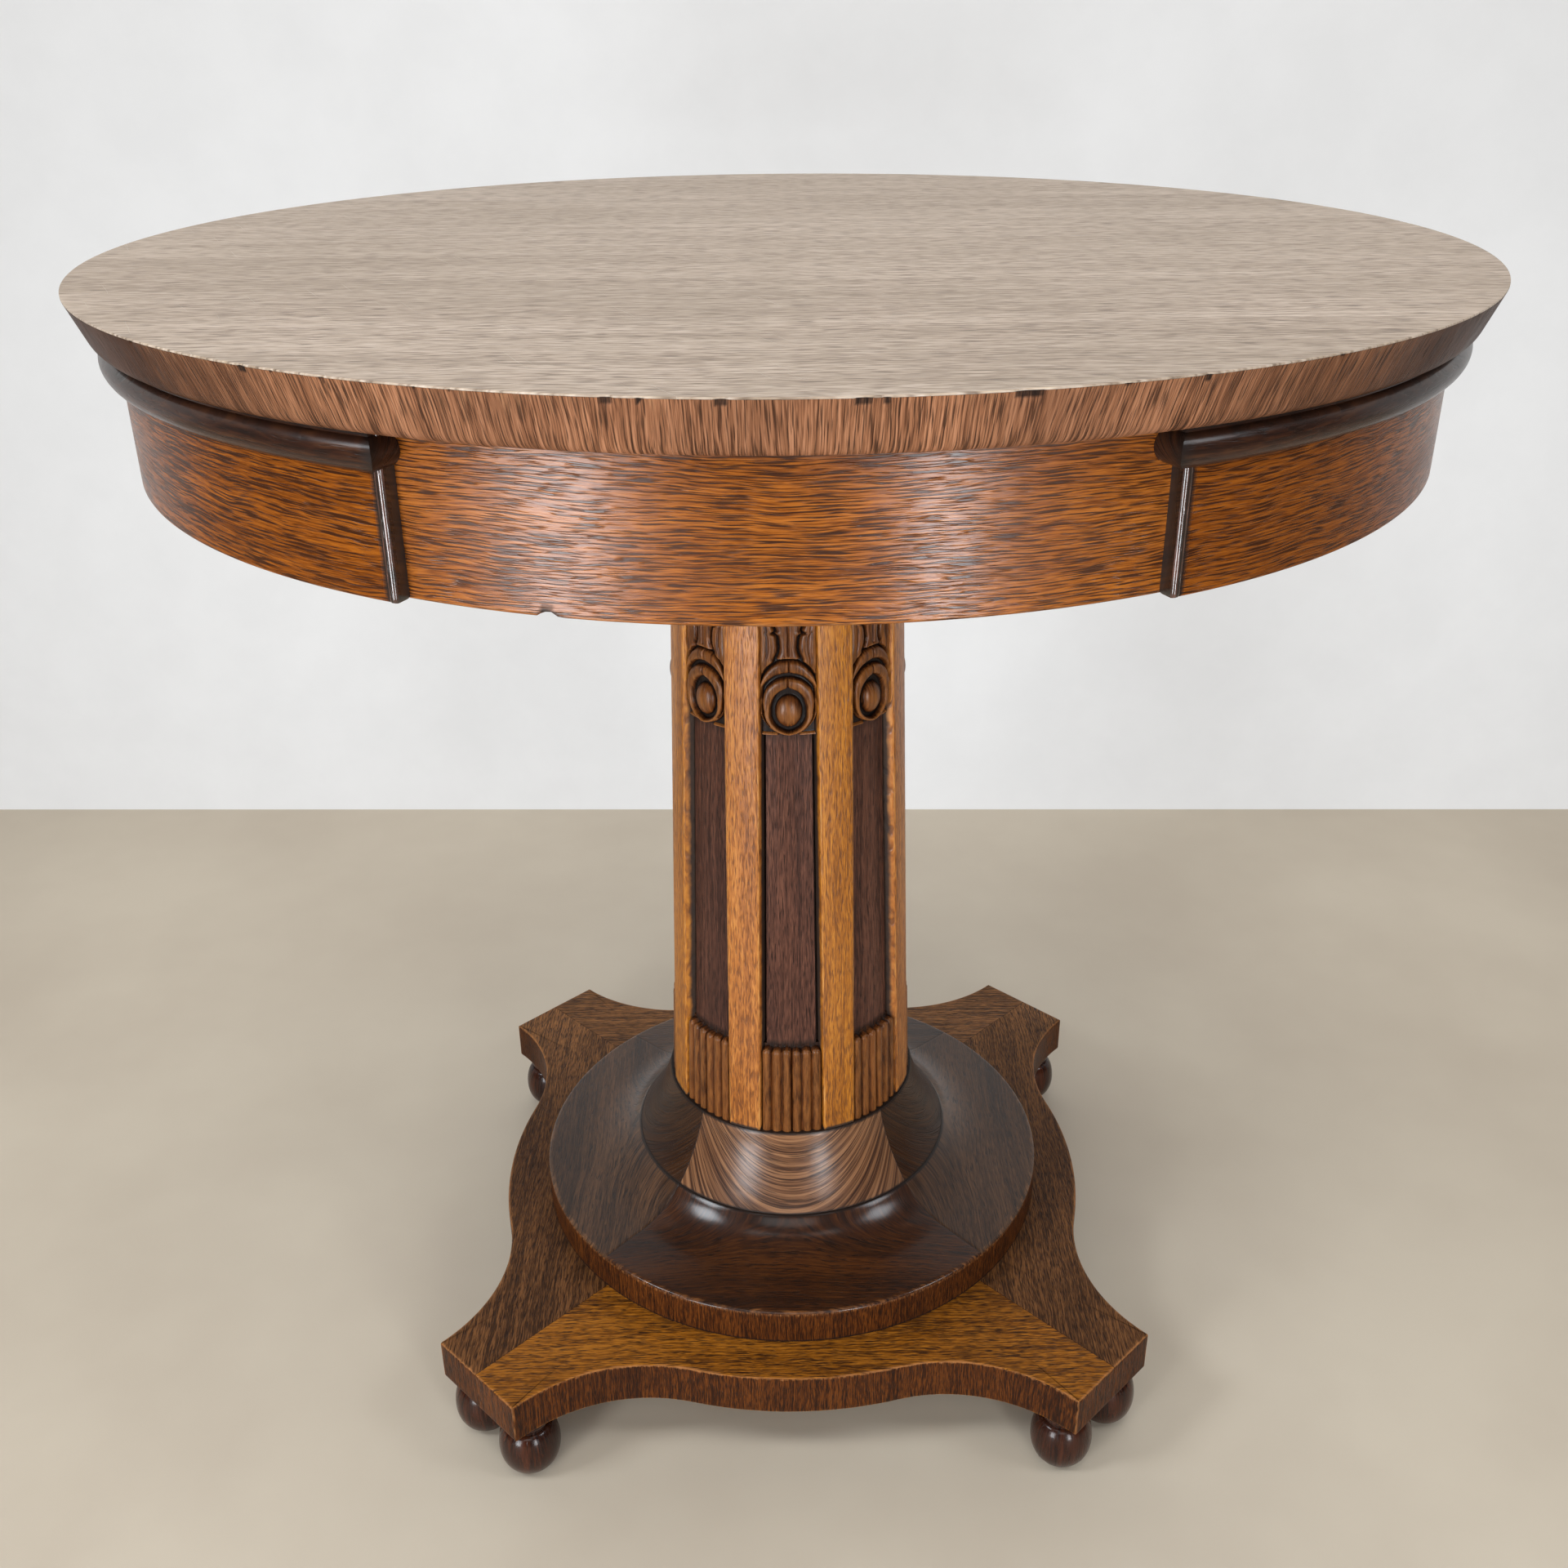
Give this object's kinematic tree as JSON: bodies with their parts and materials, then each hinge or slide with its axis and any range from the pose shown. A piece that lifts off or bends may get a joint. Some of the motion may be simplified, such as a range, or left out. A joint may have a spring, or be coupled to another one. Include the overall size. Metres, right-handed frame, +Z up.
{
  "type": "round pedestal table",
  "caption": "Round oak pedestal table: deep curved apron, tapered round column with pilasters and carved bays, moulded disc base and scalloped plinth on bun feet.",
  "frame": {"origin": "on the floor, on the column's axis, at the bottom centre of the table's box", "axes": "+Z up along the column's axis; the recessed front panel of the apron faces -Y; +X to the viewer's right"},
  "size_m": [0.7999, 0.8, 0.77],
  "materials": {
    "top_veneer": "satin, worn greyish-tan oak veneer",
    "edge_band": "satin, reddish-brown cross-grained oak",
    "apron_oak": "satin, warm orange-brown oak",
    "ebonised_moulding": "gloss, near-black stained",
    "pilaster_oak": "satin, golden oak",
    "carved_oak": "satin, dark carved oak",
    "dark_panel_oak": "satin, very dark oak",
    "base_oak": "satin to gloss, dark brown oak",
    "foot_wood": "gloss, dark red-brown turned wood",
    "inner_softwood": "raw, unfinished softwood",
    "steel_fixings": "dull steel"
  },
  "bodies": {
    "root": {"apron_panel_left": "apron_oak", "apron_panel_right": "apron_oak", "apron_ring": "apron_oak", "base_collar": "base_oak", "base_disc": "base_oak", "bearer_cross": "inner_softwood", "bearer_long": "inner_softwood", "bun_foot_1": "foot_wood", "bun_foot_2": "foot_wood", "bun_foot_3": "foot_wood", "bun_foot_4": "foot_wood", "bun_foot_5": "foot_wood", "bun_foot_6": "foot_wood", "bun_foot_7": "foot_wood", "bun_foot_8": "foot_wood", "carved_capital_1": "carved_oak", "carved_capital_2": "carved_oak", "carved_capital_3": "carved_oak", "carved_capital_4": "carved_oak", "carved_capital_5": "carved_oak", "carved_capital_6": "carved_oak", "carved_capital_7": "carved_oak", "carved_capital_8": "carved_oak", "column_staves": "dark_panel_oak", "cornice_left": "ebonised_moulding", "cornice_return_back_left": "ebonised_moulding", "cornice_return_back_right": "ebonised_moulding", "cornice_return_front_left": "ebonised_moulding", "cornice_return_front_right": "ebonised_moulding", "cornice_right": "ebonised_moulding", "end_bead_back_left": "ebonised_moulding", "end_bead_back_right": "ebonised_moulding", "end_bead_front_left": "ebonised_moulding", "end_bead_front_right": "ebonised_moulding", "glue_blocks": "inner_softwood", "head_block": "inner_softwood", "pilaster_1": "pilaster_oak", "pilaster_2": "pilaster_oak", "pilaster_3": "pilaster_oak", "pilaster_4": "pilaster_oak", "pilaster_5": "pilaster_oak", "pilaster_6": "pilaster_oak", "pilaster_7": "pilaster_oak", "pilaster_8": "pilaster_oak", "plinth_board": "base_oak", "reeded_block_1": "carved_oak", "reeded_block_2": "carved_oak", "reeded_block_3": "carved_oak", "reeded_block_4": "carved_oak", "reeded_block_5": "carved_oak", "reeded_block_6": "carved_oak", "reeded_block_7": "carved_oak", "reeded_block_8": "carved_oak", "tabletop_core": "inner_softwood", "tabletop_edge_band": "edge_band", "tabletop_veneer": "top_veneer", "tie_rod": "steel_fixings", "tie_rod_nuts": "steel_fixings", "tie_rod_washers": "steel_fixings", "wood_screws": "steel_fixings"}
  },
  "joints": []
}
